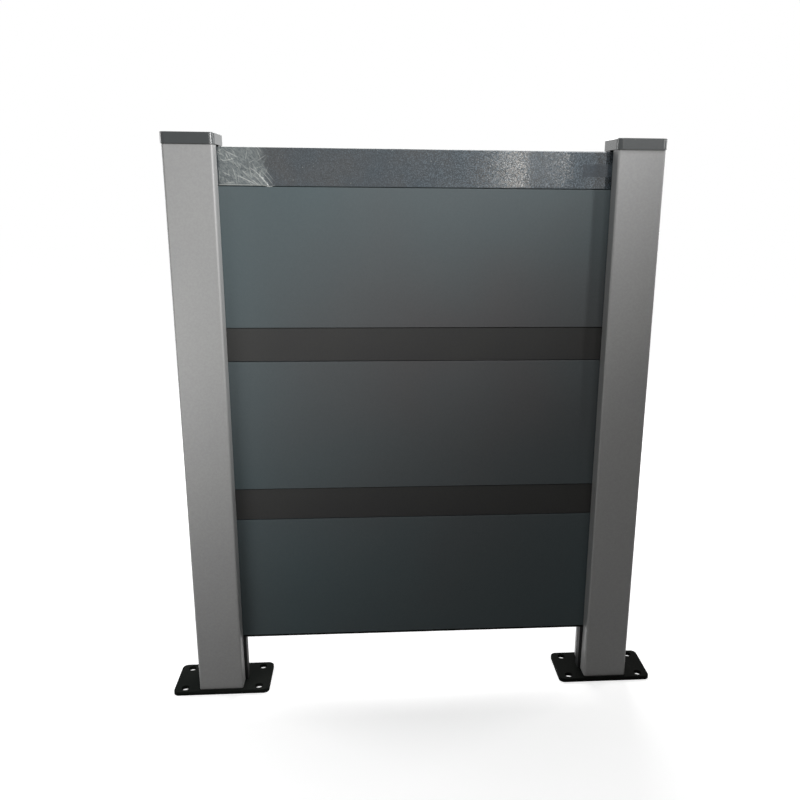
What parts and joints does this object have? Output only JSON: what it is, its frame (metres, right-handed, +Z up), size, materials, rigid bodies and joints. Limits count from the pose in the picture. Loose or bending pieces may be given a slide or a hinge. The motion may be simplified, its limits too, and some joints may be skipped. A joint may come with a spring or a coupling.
{
  "type": "aluminum privacy fence panel with two posts",
  "caption": "One bay of a privacy fence: slotted posts with caps and base plates hold a closed panel of stacked wide boards, narrow strips and a top rail.",
  "frame": {"origin": "centre of the left base plate's flat underside", "axes": "+X along the fence towards the right post, +Z up, the front faces -Y"},
  "size_m": [0.772, 0.078, 0.8518],
  "materials": {
    "post": "fine texture powder coat, light grey",
    "cap": "semi-gloss dark grey moulding",
    "base_plate": "satin black coated steel",
    "spacer": "black powder coat",
    "seal": "matt black rubber",
    "rail": "dark grey under clear protective film",
    "board": "smooth satin powder coat, blue-green slate",
    "strip": "matt charcoal powder coat",
    "closing_strip": "matt black"
  },
  "bodies": {
    "root": {"left_post": "post", "right_post": "post", "left_post_cap": "cap", "right_post_cap": "cap", "left_base_plate": "base_plate", "right_base_plate": "base_plate", "left_slot_spacer": "spacer", "right_slot_spacer": "spacer", "left_front_seal": "seal", "left_rear_seal": "seal", "right_front_seal": "seal", "right_rear_seal": "seal", "top_rail": "rail", "board_top": "board", "board_middle": "board", "board_bottom": "board", "strip_upper": "strip", "strip_lower": "strip", "bottom_closing_strip": "closing_strip"}
  },
  "joints": []
}
